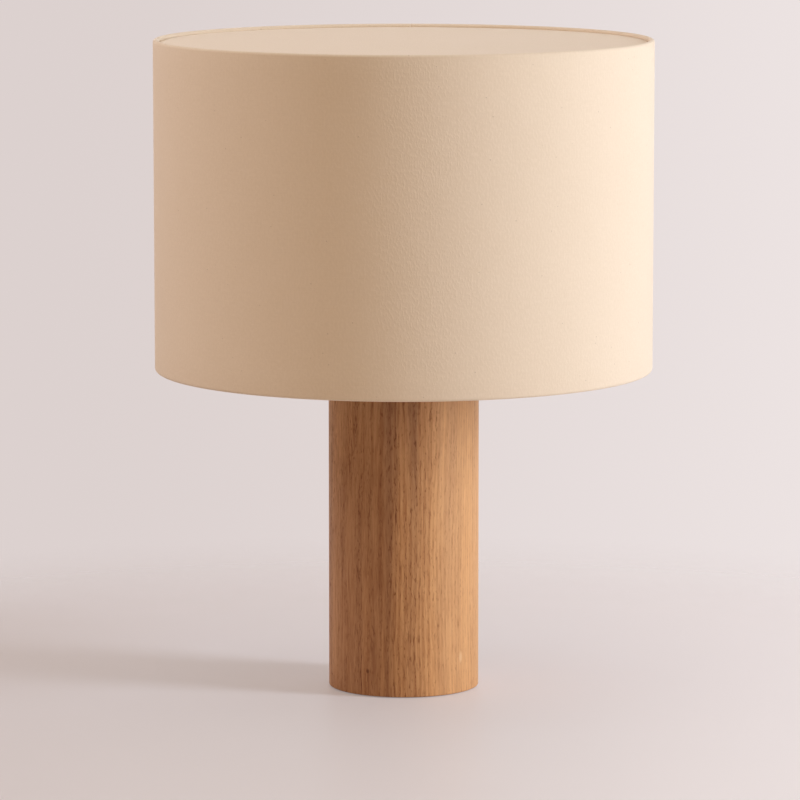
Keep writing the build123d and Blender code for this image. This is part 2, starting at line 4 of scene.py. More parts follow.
import bpy
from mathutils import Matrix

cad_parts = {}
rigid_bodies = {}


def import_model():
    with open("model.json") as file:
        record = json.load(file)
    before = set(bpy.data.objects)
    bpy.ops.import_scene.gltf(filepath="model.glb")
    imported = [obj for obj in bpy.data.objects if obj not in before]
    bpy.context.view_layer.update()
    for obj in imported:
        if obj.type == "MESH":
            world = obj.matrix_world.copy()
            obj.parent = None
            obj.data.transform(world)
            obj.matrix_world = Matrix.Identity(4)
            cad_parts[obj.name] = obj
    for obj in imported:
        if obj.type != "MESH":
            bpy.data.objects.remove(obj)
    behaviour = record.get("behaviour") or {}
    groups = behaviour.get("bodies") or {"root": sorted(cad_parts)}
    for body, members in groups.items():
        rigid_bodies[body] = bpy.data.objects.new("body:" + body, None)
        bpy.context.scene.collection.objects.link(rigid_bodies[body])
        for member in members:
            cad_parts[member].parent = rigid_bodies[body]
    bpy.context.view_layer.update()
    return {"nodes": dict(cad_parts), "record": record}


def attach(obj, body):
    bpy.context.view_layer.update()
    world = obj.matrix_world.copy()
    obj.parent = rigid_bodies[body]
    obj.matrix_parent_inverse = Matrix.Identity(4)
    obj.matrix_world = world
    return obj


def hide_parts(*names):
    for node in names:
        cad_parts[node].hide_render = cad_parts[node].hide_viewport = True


for leftover in list(bpy.data.objects):  # start-up cube, lamp and camera
    bpy.data.objects.remove(leftover)
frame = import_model()
cad = frame["nodes"]


class Wire:  # one socket of a node, so that shader and geometry sums read as plain sums
    def __init__(self, tree, socket=None):
        self.tree = tree
        self.socket = socket

    def node(self, kind, settings=None, feeds=None, take=0):
        made = self.tree.nodes.new(kind)
        for key, value in (settings or {}).items():
            setattr(made, key, value)
        for key, value in (feeds or {}).items():
            if isinstance(value, Wire):
                self.tree.links.new(value.socket, made.inputs[key])
            else:
                made.inputs[key].default_value = value
        return Wire(self.tree, made.outputs[take] if len(made.outputs) else None)

    def out(self, take):  # another output of the same node
        return Wire(self.tree, self.socket.node.outputs[take])

    def alone(self, operation):
        return self.node("ShaderNodeMath", {"operation": operation}, {0: self})

    def sum(self, operation, first, second):
        return self.node("ShaderNodeMath", {"operation": operation}, {0: first, 1: second})

    def __add__(self, other):
        return self.sum("ADD", self, other)

    def __radd__(self, other):
        return self.sum("ADD", other, self)

    def __sub__(self, other):
        return self.sum("SUBTRACT", self, other)

    def __rsub__(self, other):
        return self.sum("SUBTRACT", other, self)

    def __mul__(self, other):
        return self.sum("MULTIPLY", self, other)

    def __rmul__(self, other):
        return self.sum("MULTIPLY", other, self)

    def __truediv__(self, other):
        return self.sum("DIVIDE", self, other)

    def __rtruediv__(self, other):
        return self.sum("DIVIDE", other, self)

    def __gt__(self, other):
        return self.sum("GREATER_THAN", self, other)

    def __lt__(self, other):
        return self.sum("LESS_THAN", self, other)

    def __abs__(self):
        return self.alone("ABSOLUTE")


def sine(value):
    return value.alone("SINE")


def cosine(value):
    return value.alone("COSINE")


def smaller(first, second):
    return first.sum("MINIMUM", first, second)


def larger(first, second):
    return first.sum("MAXIMUM", first, second)


def span(first, second):  # how far out, when the two are taken at a right angle
    return first.sum("POWER", first * first + second * second, 0.5)


def ease(value, low, high):  # 0 up to low, 1 from high, smooth between
    feeds = {0: value, 1: low, 2: high, 3: 0.0, 4: 1.0}
    return value.node("ShaderNodeMapRange", {"interpolation_type": "SMOOTHSTEP"}, feeds)


def stretch(place, scale):
    return place.node("ShaderNodeVectorMath", {"operation": "MULTIPLY"}, {0: place, 1: scale})


def noise(place, scale, detail=2.0, rough=0.5):
    feeds = {"Vector": stretch(place, scale), "Scale": 1.0, "Detail": detail, "Roughness": rough}
    return place.node("ShaderNodeTexNoise", {}, feeds)


def cells(place, scale):
    return place.node("ShaderNodeTexVoronoi", {}, {"Vector": stretch(place, scale), "Scale": 1.0})


def tint(share, first, second):
    return share.node("ShaderNodeMix", {"data_type": "RGBA"}, {0: share, 6: first, 7: second}, 2)


def darken(share, colour, left):  # keeps only this much of each colour channel where share is 1
    settings = {"data_type": "RGBA", "blend_type": "MULTIPLY"}
    return share.node("ShaderNodeMix", settings, {0: share, 6: colour, 7: left}, 2)


def startFinish(name):
    material = bpy.data.materials.new(name)
    material.use_nodes = True
    material.node_tree.nodes.clear()
    return material, Wire(material.node_tree)


def endFinish(start, feeds, height, depth):
    bump = start.node("ShaderNodeBump", {}, {"Height": height, "Distance": depth})
    surface = start.node("ShaderNodeBsdfPrincipled", {}, {**feeds, "Normal": bump})
    start.node("ShaderNodeOutputMaterial", {}, {"Surface": surface})


def objectPlace(start):
    return start.node("ShaderNodeTexCoord", {}, {}, "Object")


# Turned oak: rings about a pith behind and to the right, dark heart bands, fibres, pores, a pin knot
# and a pale fleck
oakLook = {
    "pale": (0.840, 0.462, 0.198, 1),
    "heart": (0.448, 0.225, 0.102, 1),
    "streak": (0.60, 0.465, 0.38, 1),  # what a dark fibre leaves of the colour
    "pore": (0.46, 0.32, 0.24, 1),
    "fleck": (0.80, 0.53, 0.29, 1),
    "pith": (0.160, 0.100),
    "ring": 0.0034,  # one year's growth
    "slant": 0.012,  # how far the grain wanders sideways
    "grain": {  # how fine each noise is, to the metre: across the wood twice, then along it
        "sway": (14, 14, 3.0),
        "swayMore": (15, 15, 3.6),
        "wander": (70, 70, 5),
        "broad": (70, 70, 4),
        "streak": (300, 300, 18),
        "fibre": (900, 900, 66),
        "vein": (760, 760, 92),
        "dash": (820, 820, 220),
    },
    "quiet": (0.012, 0.040),  # from here to there in x the grain dies down to half
    "bandChange": (0.10, 0.25),  # heights between which a band goes over to its top depth
    "paintedShadeTop": (0.22, 0.26),  # heights between which painted shade from the lampshade darkens the top of the column
    "bands": (  # x, half width, depth at the foot and at the top; pale where negative
        (-0.0590, 0.0120, -0.10, -0.66),
        (-0.0440, 0.0180, 0.30, -0.22),
        (-0.0215, 0.0200, 0.36, 0.06),
        (-0.0135, 0.0050, 0.20, 0.34),
        (-0.0040, 0.0280, -0.04, 0.24),
        (0.0085, 0.0055, 0.10, 0.46),
        (0.0240, 0.0070, -0.18, -0.14),
        (0.0520, 0.0160, 0.02, 0.16),
    ),
    "knotAt": (-0.029, -0.053, 0.0205),
    "knotSqueeze": (1, 0.6, 0.62),
    "knotCore": 0.00056,
    "knotSize": 0.0016,
    "fleckAt": (0.0457, -0.0396, 0.0295),
    "fleckSqueeze": (1, 0.6, 0.3),
    "fleckCore": 0.0006,
    "fleckSize": 0.0019,
    "specular": 0.28,
    "relief": 0.00016,
}


def spanTo(place, spot, squeeze):  # distance to a spot, shorter along a squeezed axis
    away = place.node("ShaderNodeVectorMath", {"operation": "SUBTRACT"}, {0: place, 1: spot})
    away = stretch(away, squeeze)
    return away.node("ShaderNodeVectorMath", {"operation": "LENGTH"}, {0: away}, "Value")


def oakFinish():
    material, start = startFinish("turnedOak")
    grain = oakLook["grain"]
    place = objectPlace(start)
    flat = place.node("ShaderNodeSeparateXYZ", {}, {0: place})
    z = flat.out("Z")
    sway = noise(place, grain["sway"], 2.0)
    swayMore = noise(place, grain["swayMore"], 1.0)
    x = flat + (sway - 0.5) * oakLook["slant"]
    y = flat.out("Y") + (swayMore - 0.5) * oakLook["slant"]
    grown = start.node("ShaderNodeCombineXYZ", {}, {0: x, 1: y, 2: z})  # straight along the grain
    fromPith = span(x - oakLook["pith"][0], y - oakLook["pith"][1])
    wander = noise(grown, grain["wander"], 2.0)
    years = fromPith / oakLook["ring"] + (wander - 0.5) * 2.0
    year = years.alone("FRACT")
    early = ease(year, 0.0, 0.22) * (1 - ease(year, 0.30, 0.85))  # porous spring wood
    broad = noise(grown, grain["broad"], 2.0)
    streak = noise(grown, grain["streak"], 3.0, 0.6)
    fibre = noise(grown, grain["fibre"], 2.0, 0.5)
    vein = noise(grown, grain["vein"], 1.0)
    dash = noise(grown, grain["dash"], 1.0)
    bold = 1 - 0.50 * ease(x, *oakLook["quiet"])
    crowd = (0.16 + 0.62 * early + 0.45 * ease(broad, 0.42, 0.62)) * bold
    pore = smaller(ease(dash, 0.56, 0.72) * 0.75 + ease(vein, 0.54, 0.72) * 0.65, 1.0) * crowd
    fine = 0.16 * early + 0.70 * (streak - 0.5) + 0.75 * (fibre - 0.5)
    tone = 0.28 - 5.0 * x + 0.90 * (broad - 0.5) + 0.16 * ease(z, *oakLook["paintedShadeTop"])
    upper = ease(z, *oakLook["bandChange"])
    for spot, width, foot, top in oakLook["bands"]:
        tone = tone + (foot + (top - foot) * upper) * (1 - ease(abs(x - spot), 0.0, width))
    colour = tint(ease(tone, -0.35, 0.95), oakLook["pale"], oakLook["heart"])
    colour = darken(ease(fine, -0.38, 0.50) * bold, colour, oakLook["streak"])
    colour = darken(pore * 0.9, colour, oakLook["pore"])
    fromKnot = spanTo(place, oakLook["knotAt"], oakLook["knotSqueeze"])
    knot = 1 - ease(fromKnot, oakLook["knotCore"], oakLook["knotSize"])
    colour = darken(knot * 0.9, colour, oakLook["pore"])
    fromFleck = spanTo(place, oakLook["fleckAt"], oakLook["fleckSqueeze"])
    fleck = 1 - ease(fromFleck, oakLook["fleckCore"], oakLook["fleckSize"])
    colour = tint(fleck * 0.6, colour, oakLook["fleck"])
    rough = 0.52 + 0.16 * (streak - 0.5) + 0.20 * pore
    height = 0.5 - 0.5 * pore + 0.20 * (fibre - 0.5) - 0.10 * early - 0.4 * knot
    feeds = {"Base Color": colour, "Roughness": rough, "Specular IOR Level": oakLook["specular"]}
    endFinish(start, feeds, height, oakLook["relief"])
    return material


# Plain-woven cotton: yarns, slubs, short upright puckers and a few dark seed flecks
clothLook = {
    "face": (0.822, 0.678, 0.520, 1),
    "hollow": (0.735, 0.592, 0.436, 1),
    "seed": (0.42, 0.30, 0.20, 1),
    "yarn": 0.00046,
    "yarnDrift": 0.0009,  # how far a yarn strays from its straight line
    "drift": (70, 70, 1),  # this and the next five: how many to the metre, across and up
    "warp": (1700, 46, 1),
    "weft": (46, 1700, 1),
    "pucker": (570, 330, 1),
    "broad": (11, 7, 1),
    "seeds": (210, 210, 1),
    "puckerDepth": 0.000054,
    "sheen": 0.10,
    "sheenRough": 0.45,
    "specular": 0.18,
}


def clothFinish(name):
    material, start = startFinish(name)
    place = start.node("ShaderNodeAttribute", {"attribute_name": "clothPlace"}, {}, "Vector")
    across = place.node("ShaderNodeSeparateXYZ", {}, {0: place})
    up = across.out("Y")
    drift = noise(place, clothLook["drift"], 2.0)
    stray = clothLook["yarnDrift"]
    turn = pi / clothLook["yarn"]
    weave = sine((across + drift * stray) * turn) * sine((up + drift.out("Color") * stray) * turn)
    warp = noise(place, clothLook["warp"], 2.0)
    weft = noise(place, clothLook["weft"], 2.0)
    pucker = noise(place, clothLook["pucker"], 1.5, 0.45)
    ridge = ease(pucker, 0.42, 0.70)
    broad = noise(place, clothLook["broad"], 3.0)
    speck = cells(place, clothLook["seeds"])
    seed = (1 - ease(speck, 0.05, 0.13)) * (speck.out("Color") > 0.80)  # one cell in a few has a seed
    tone = 0.45 + 0.26 * (warp - 0.5) + 0.28 * (weft - 0.5) + 0.12 * weave - 0.46 * (pucker - 0.5)
    tone = tone + 0.22 * (broad - 0.5)
    colour = tint(ease(tone, 0.0, 1.0), clothLook["face"], clothLook["hollow"])
    colour = tint(seed * 0.55, colour, clothLook["seed"])
    height = 0.75 * ridge + 0.16 * weave + 0.30 * (warp + weft)
    feeds = {"Base Color": colour, "Roughness": 0.86 + 0.12 * (weft - 0.5),
             "Sheen Weight": clothLook["sheen"], "Sheen Roughness": clothLook["sheenRough"],
             "Specular IOR Level": clothLook["specular"]}
    endFinish(start, feeds, height, clothLook["puckerDepth"])
    return material


# Every other finish: two tones, a grain stretched along an axis, a spread of gloss and a fine relief
smallFinishes = {
    "felt": dict(tones=((0.40, 0.27, 0.17, 1), (0.52, 0.37, 0.25, 1)), grain=(2600, 2600, 1500),
                 rough=(0.92, 0.99), metal=0.0, relief=0.00030),
    "board": dict(tones=((0.22, 0.135, 0.078, 1), (0.12, 0.070, 0.040, 1)), grain=(900, 900, 2400),
                  rough=(0.70, 0.88), metal=0.0, relief=0.00008),
    "steel": dict(tones=((0.56, 0.57, 0.58, 1), (0.44, 0.45, 0.47, 1)), grain=(320, 320, 900),
                  rough=(0.28, 0.46), metal=1.0, relief=0.00002),
    "iron": dict(tones=((0.060, 0.060, 0.064, 1), (0.028, 0.028, 0.030, 1)), grain=(700, 700, 700),
                 rough=(0.55, 0.82), metal=0.6, relief=0.00035),
    "brass": dict(tones=((0.72, 0.52, 0.24, 1), (0.60, 0.41, 0.17, 1)), grain=(90, 90, 2600),
                  rough=(0.24, 0.40), metal=1.0, relief=0.00002),
    "contact_brass": dict(tones=((0.78, 0.58, 0.29, 1), (0.62, 0.43, 0.19, 1)), grain=(1200, 200, 1200),
                          rough=(0.22, 0.42), metal=1.0, relief=0.00003),
    "bush_plastic": dict(tones=((0.018, 0.017, 0.017, 1), (0.032, 0.030, 0.030, 1)),
                         grain=(2200, 2200, 2200), rough=(0.42, 0.58), metal=0.0, relief=0.00003),
    "holder_plastic": dict(tones=((0.80, 0.79, 0.74, 1), (0.72, 0.70, 0.64, 1)), grain=(120, 120, 60),
                           rough=(0.22, 0.36), metal=0.0, relief=0.00003),
    "insert_plastic": dict(tones=((0.78, 0.75, 0.68, 1), (0.68, 0.64, 0.56, 1)), grain=(1600, 1600, 1600),
                           rough=(0.50, 0.72), metal=0.0, relief=0.00006),
    "bar_plastic": dict(tones=((0.81, 0.80, 0.75, 1), (0.74, 0.72, 0.66, 1)), grain=(60, 260, 260),
                        rough=(0.18, 0.34), metal=0.0, relief=0.00002),
    "fibre": dict(tones=((0.24, 0.070, 0.036, 1), (0.15, 0.042, 0.022, 1)), grain=(1400, 420, 1400),
                  rough=(0.66, 0.86), metal=0.0, relief=0.00010),
    "white_metal": dict(tones=((0.82, 0.81, 0.78, 1), (0.75, 0.74, 0.70, 1)), grain=(1100, 1100, 1100),
                        rough=(0.36, 0.50), metal=0.0, relief=0.00006),
    "liner": dict(tones=((0.81, 0.78, 0.72, 1), (0.75, 0.71, 0.64, 1)), grain=(760, 760, 760),
                  rough=(0.50, 0.66), metal=0.0, relief=0.00005),
    "opal": dict(tones=((0.84, 0.83, 0.79, 1), (0.79, 0.77, 0.72, 1)), grain=(500, 500, 500),
                 rough=(0.30, 0.44), metal=0.0, relief=0.00003),
    "solder": dict(tones=((0.62, 0.62, 0.62, 1), (0.42, 0.42, 0.43, 1)), grain=(700, 700, 700),
                   rough=(0.26, 0.52), metal=1.0, relief=0.00014),
    "insulator": dict(tones=((0.012, 0.012, 0.015, 1), (0.026, 0.024, 0.028, 1)), grain=(300, 300, 300),
                      rough=(0.08, 0.22), metal=0.0, relief=0.00004),
    "bulb_metal": dict(tones=((0.66, 0.65, 0.63, 1), (0.52, 0.51, 0.49, 1)), grain=(260, 260, 1500),
                       rough=(0.20, 0.38), metal=1.0, relief=0.00002),
    "bulb_white": dict(tones=((0.82, 0.82, 0.80, 1), (0.77, 0.77, 0.74, 1)), grain=(1500, 1500, 1500),
                       rough=(0.30, 0.44), metal=0.0, relief=0.00003),
    "bulb_opal": dict(tones=((0.86, 0.85, 0.81, 1), (0.81, 0.79, 0.74, 1)), grain=(900, 900, 900),
                      rough=(0.34, 0.50), metal=0.0, relief=0.00003),
}
cloudScale = (34, 34, 34)  # to the metre


def smallFinish(name, look):
    material, start = startFinish(name)
    place = objectPlace(start)
    grain = noise(place, look["grain"], 3.0, 0.6)
    cloud = noise(place, cloudScale, 3.0, 0.55)
    low, high = look["rough"]
    colour = tint(ease(0.55 * grain + 0.45 * cloud, 0.30, 0.70), *look["tones"])
    rough = low + (high - low) * ease(0.5 * grain + 0.5 * cloud, 0.30, 0.70)
    feeds = {"Base Color": colour, "Roughness": rough, "Metallic": look["metal"]}
    endFinish(start, feeds, grain, look["relief"])
    return material


finishes = {slot: smallFinish(slot, look) for slot, look in smallFinishes.items()}
finishes["oak"] = oakFinish()
finishes["shade_fabric"] = clothFinish("shadeCloth")
for part in frame["record"]["subparts"]:
    holder = cad[part["node"]]
    for materialSlot in holder.material_slots:
        materialSlot.material = finishes[part["material_slot"]]
print("finishes:", len(finishes))


def startTree(name, sizes):  # a Geometry Nodes tree with one named input for each size
    tree = bpy.data.node_groups.new(name, "GeometryNodeTree")
    tree.interface.new_socket("Geometry", in_out="OUTPUT", socket_type="NodeSocketGeometry")
    for size, value in sizes.items():
        kind = "NodeSocketInt" if isinstance(value, int) else "NodeSocketFloat"
        tree.interface.new_socket(size, in_out="INPUT", socket_type=kind)
    start = Wire(tree)
    entry = start.node("NodeGroupInput")
    return start, {size: entry.out(size) for size in sizes}


def endTree(start, mesh, material):
    solid = start.node("GeometryNodeSetShadeSmooth", {}, {"Geometry": mesh})
    solid = start.node("GeometryNodeRealizeInstances", {}, {"Geometry": solid})
    solid = start.node("GeometryNodeSetMaterial", {}, {"Geometry": solid, "Material": material})
    start.node("NodeGroupOutput", {}, {"Geometry": solid})
    return start.tree


def growPiece(name, tree, sizes):  # runs the tree once and keeps its result as a plain mesh
    piece = bpy.data.objects.new(name, bpy.data.meshes.new(name + "Start"))
    bpy.context.scene.collection.objects.link(piece)
    grower = piece.modifiers.new("grow", "NODES")
    grower.node_group = tree
    for item in tree.interface.items_tree:
        if item.in_out == "INPUT":
            grower[item.identifier] = sizes[item.name]
    graph = bpy.context.evaluated_depsgraph_get()
    grown = bpy.data.meshes.new_from_object(piece.evaluated_get(graph), preserve_all_data_layers=True,
                                            depsgraph=graph)
    piece.modifiers.remove(grower)
    piece.data = grown
    return piece


def thicken(piece, thickness, rounding=0.0):
    wall = piece.modifiers.new("thickness", "SOLIDIFY")
    wall.thickness = thickness
    wall.offset = -1.0
    wall.use_even_offset = True
    if rounding:
        edge = piece.modifiers.new("edge", "BEVEL")
        edge.width = rounding
        edge.segments = 2
        edge.limit_method = "ANGLE"
        weld = piece.modifiers.new("weld", "WELD")  # closes the slivers that the rounding leaves
        weld.merge_threshold = rounding / 50


def moveTo(start, mesh, x, y, z):
    spot = start.node("ShaderNodeCombineXYZ", {}, {0: x, 1: y, 2: z})
    return start.node("GeometryNodeSetPosition", {}, {"Geometry": mesh, "Position": spot})


# Drum cover: one strip of cloth wrapped round the shade, lapped at the back, both long edges rolled over
# the rim wires, the turned-in hems notched for the spokes and the lugs
drumCover = {
    "Radius": 0.2000,
    "Fold Radius": 0.0023,
    "Half Wall": 0.13045,  # from mid height to the start of a fold
    "Middle": 0.39075,
    "Flap": 0.0067,
    "Lap Lift": 0.00045,
    "Lap Ramp": 0.006,  # length over which the cloth climbs on to its own start
    "Spokes": 3,
    "Spoke Notch": 0.0032,
    "Lugs": 4,
    "Lug Notch": 0.0062,
    "Lug Notch Drop": 0.0017,
    "Columns": 720,  # once round the drum
    "Lap Columns": 7,
    "Wall Rows": 8,
    "Fold Rows": 10,
    "Flap Rows": 6,
}
clothThickness = 0.0004


def drumCoverTree(material):
    start, size = startTree("drumCover", drumCover)
    halfRows = size["Wall Rows"] + size["Fold Rows"] + size["Flap Rows"]
    columns = size["Columns"] + size["Lap Columns"]
    grid = start.node("GeometryNodeMeshGrid", {}, {
        "Size X": 1.0, "Size Y": 1.0, "Vertices X": columns + 1, "Vertices Y": halfRows * 2 + 1})
    spot = start.node("GeometryNodeInputPosition")
    across = start.node("ShaderNodeSeparateXYZ", {}, {0: spot})
    row = across.out("Y") * halfRows * 2  # rows from mid height, down is negative
    rowAway = abs(row)
    side = row.alone("SIGN")
    oneColumn = 2 * pi / size["Columns"]
    turn = (across + 0.5) * columns * oneColumn
    angle = turn + pi / 2 - size["Lap Columns"] * oneColumn / 2
    wall = smaller(rowAway, size["Wall Rows"]) * size["Half Wall"] / size["Wall Rows"]
    bend = smaller(larger(rowAway - size["Wall Rows"], 0.0), size["Fold Rows"]) * pi / size["Fold Rows"]
    flap = larger(rowAway - size["Wall Rows"] - size["Fold Rows"], 0.0) * size["Flap"] / size["Flap Rows"]
    toSpoke = angle.node("ShaderNodeMath", {"operation": "WRAP"}, {
        0: angle - pi / 2, 1: pi / size["Spokes"], 2: -1 * pi / size["Spokes"]})
    toLug = angle.node("ShaderNodeMath", {"operation": "WRAP"}, {
        0: angle - pi / size["Lugs"], 1: pi / size["Lugs"], 2: -1 * pi / size["Lugs"]})
    atSpoke = (abs(toSpoke) * size["Radius"] < size["Spoke Notch"]) * (side < 0) * (flap > 0)
    atLug = (abs(toLug) * size["Radius"] < size["Lug Notch"]) * (side > 0) * (flap > size["Lug Notch Drop"])
    atLap = (turn > 2 * pi) * (bend > 0)  # the lap is cut back at both hems
    mesh = start.node("GeometryNodeDeleteGeometry", {"domain": "FACE"}, {
        "Geometry": grid, "Selection": larger(larger(atSpoke, atLug), atLap)})
    onCloth = start.node("ShaderNodeCombineXYZ", {}, {
        0: turn * size["Radius"], 1: side * (wall + bend * size["Fold Radius"] + flap)})
    mesh = start.node("GeometryNodeStoreNamedAttribute", {"data_type": "FLOAT_VECTOR", "domain": "POINT"}, {
        "Geometry": mesh, "Name": "clothPlace", "Value": onCloth})
    lift = ease(turn * size["Radius"], 2 * pi * size["Radius"] - size["Lap Ramp"], 2 * pi * size["Radius"])
    lift = lift * size["Lap Lift"] * (1 - (bend > 0))
    outward = size["Radius"] + size["Fold Radius"] * (cosine(bend) - 1) + lift * cosine(bend)
    height = side * (wall + (size["Fold Radius"] + lift) * sine(bend) - flap) + size["Middle"]
    mesh = moveTo(start, mesh, outward * cosine(angle), outward * sine(angle), height)
    return endTree(start, mesh, material)


cover = growPiece("drumCover", drumCoverTree(finishes["shade_fabric"]), drumCover)
thicken(cover, clothThickness)
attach(cover, "shade")
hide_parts("shade_cover")


# Round cloth pieces: a square grid drawn out to a disc, so the weave stays straight
diffuserCloth = {"Radius": 0.1953, "Level": 0.5207, "Ripple": 0.00012, "Ripple Rate": 38.0, "Cells": 110}
footFelt = {"Radius": 0.0565, "Level": 0.0015, "Ripple": 0.0, "Ripple Rate": 1.0, "Cells": 48}
feltThickness = 0.0015
feltRounding = 0.0004


def clothDiscTree(name, sizes, material):
    start, size = startTree(name, sizes)
    grid = start.node("GeometryNodeMeshGrid", {}, {
        "Size X": 2.0, "Size Y": 2.0, "Vertices X": size["Cells"] + 1, "Vertices Y": size["Cells"] + 1})
    spot = start.node("GeometryNodeInputPosition")
    x = start.node("ShaderNodeSeparateXYZ", {}, {0: spot})
    y = x.out("Y")
    east = x * (1 - y * y / 2).alone("SQRT") * size["Radius"]
    north = y * (1 - x * x / 2).alone("SQRT") * size["Radius"]
    onCloth = start.node("ShaderNodeCombineXYZ", {}, {0: east, 1: north})
    mesh = start.node("GeometryNodeStoreNamedAttribute", {"data_type": "FLOAT_VECTOR", "domain": "POINT"}, {
        "Geometry": grid, "Name": "clothPlace", "Value": onCloth})
    ripple = start.node("ShaderNodeTexNoise", {}, {
        "Vector": onCloth, "Scale": size["Ripple Rate"], "Detail": 2.0})
    mesh = moveTo(start, mesh, east, north, size["Level"] + ripple * size["Ripple"])
    return endTree(start, mesh, material)


topClothTree = clothDiscTree("diffuserCloth", diffuserCloth, finishes["shade_fabric"])
topCloth = growPiece("diffuserCloth", topClothTree, diffuserCloth)
thicken(topCloth, clothThickness)
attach(topCloth, "diffuser")
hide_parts("diffuser_fabric")
felt = growPiece("footFelt", clothDiscTree("footFelt", footFelt, finishes["felt"]), footFelt)
thicken(felt, feltThickness, feltRounding)
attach(felt, "stand")
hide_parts("felt_pad")
print("cloth discs: diffuser and foot")


# Bulb cap: a thin rolled shell whose wall follows the screw thread, drawn in at the foot
bulbCap = {
    "Foot": 0.3055,
    "Height": 0.0210,
    "Radius": 0.0132,
    "Foot Radius": 0.0111,
    "Draw": 0.0030,  # height over which the foot widens
    "Pitch": 0.003629,
    "Thread Depth": 0.0011,
    "Plain Top": 0.0030,
    "Columns": 128,
    "Rows": 120,
}
capThickness = 0.0003
capSeamGap = 1e-6  # corners nearer than this are one, which closes the tube


def bulbCapTree(material):
    start, size = startTree("bulbCap", bulbCap)
    grid = start.node("GeometryNodeMeshGrid", {}, {
        "Size X": 1.0, "Size Y": 1.0, "Vertices X": size["Columns"] + 1, "Vertices Y": size["Rows"] + 1})
    spot = start.node("GeometryNodeInputPosition")
    across = start.node("ShaderNodeSeparateXYZ", {}, {0: spot})
    angle = (across + 0.5) * (2 * pi)
    rise = (across.out("Y") + 0.5) * size["Height"]
    wave = 0.5 - 0.5 * cosine(rise * (2 * pi) / size["Pitch"] - angle)
    below = ease(rise, 0.0, size["Draw"])
    above = 1 - ease(rise, size["Height"] - size["Plain Top"], size["Height"] - size["Plain Top"] / 2)
    wall = size["Foot Radius"] + (size["Radius"] - size["Foot Radius"]) * below
    wall = wall - size["Thread Depth"] * wave * below * above
    mesh = moveTo(start, grid, wall * cosine(angle), wall * sine(angle), rise + size["Foot"])
    mesh = start.node("GeometryNodeMergeByDistance", {}, {"Geometry": mesh, "Distance": capSeamGap})
    return endTree(start, mesh, material)


screwCap = growPiece("bulbCap", bulbCapTree(finishes["bulb_metal"]), bulbCap)
thicken(screwCap, capThickness)
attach(screwCap, "bulb")
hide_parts("bulb_cap")
print("bulb cap:", round(bulbCap["Height"] / bulbCap["Pitch"], 1), "turns of thread")


# Lampholder skirt: turned round its axis from one outline, with a rolled thread for the clamp ring
holderSkirt = {
    "foot": 0.2930,
    "seat": 0.2970,  # top of the flange, where the shade sits
    "top": 0.3260,
    "flange": 0.0230,
    "crest": 0.01975,
    "bore": 0.0135,
    "recess": 0.0143,  # wider below, round the side contact
    "recessTop": 0.3103,
    "socket": 0.0172,
    "socketTop": 0.2977,
    "round": 0.0005,
    "pitch": 0.0025,
    "depth": 0.0009,
    "lead": 0.0016,  # plain length at both ends of the thread
    "rowsPerTurn": 10,
    "columns": 144,
    "sharpFrom": 38,  # degrees between faces that keep a hard edge
}


def skirtOutline(size):  # radius, height and how much of the thread's depth a point takes
    edge = size["round"]
    outline = [(size["socket"], size["foot"], 0), (size["flange"] - edge, size["foot"], 0),
               (size["flange"], size["foot"] + edge, 0), (size["flange"], size["seat"] - edge, 0),
               (size["flange"] - edge, size["seat"], 0), (size["crest"] - size["depth"], size["seat"], 0)]
    long = size["top"] - edge - size["seat"]
    rows = round(long / size["pitch"] * size["rowsPerTurn"])
    for row in range(1, rows + 1):
        rise = long * row / rows
        share = min(rise / size["lead"], (long - rise) / size["lead"], 1.0)
        outline.append((size["crest"] - size["depth"], size["seat"] + rise, share))
    outline += [(size["crest"] - size["depth"] - edge, size["top"], 0),
                (size["bore"] + edge, size["top"], 0), (size["bore"], size["top"] - edge, 0),
                (size["bore"], size["recessTop"], 0),
                (size["recess"], size["recessTop"], 0), (size["recess"], size["socketTop"], 0),
                (size["socket"], size["socketTop"], 0)]
    return outline


def turnedSkirt(size, material):
    outline = skirtOutline(size)
    corners = []
    for column in range(size["columns"]):
        angle = 2 * pi * column / size["columns"]
        for radius, height, share in outline:
            wave = 0.5 + 0.5 * cos(2 * pi * height / size["pitch"] - angle)
            wide = radius + size["depth"] * share * wave
            corners.append((wide * cos(angle), wide * sin(angle), height))
    long = len(outline)
    faces = []
    for column in range(size["columns"]):
        this, after = column * long, (column + 1) % size["columns"] * long
        for row in range(long):
            above = (row + 1) % long
            faces.append((this + row, after + row, after + above, this + above))
    mesh = bpy.data.meshes.new("holderSkirt")
    mesh.from_pydata(corners, [], faces)
    mesh.polygons.foreach_set("use_smooth", [True] * len(faces))
    mesh.set_sharp_from_angle(angle=radians(size["sharpFrom"]))
    mesh.materials.append(material)
    piece = bpy.data.objects.new("holderSkirt", mesh)
    bpy.context.scene.collection.objects.link(piece)
    return piece


skirt = turnedSkirt(holderSkirt, finishes["holder_plastic"])
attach(skirt, "stand")
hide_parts("lampholder_skirt")
print("holder skirt:", len(skirt.data.polygons), "faces")


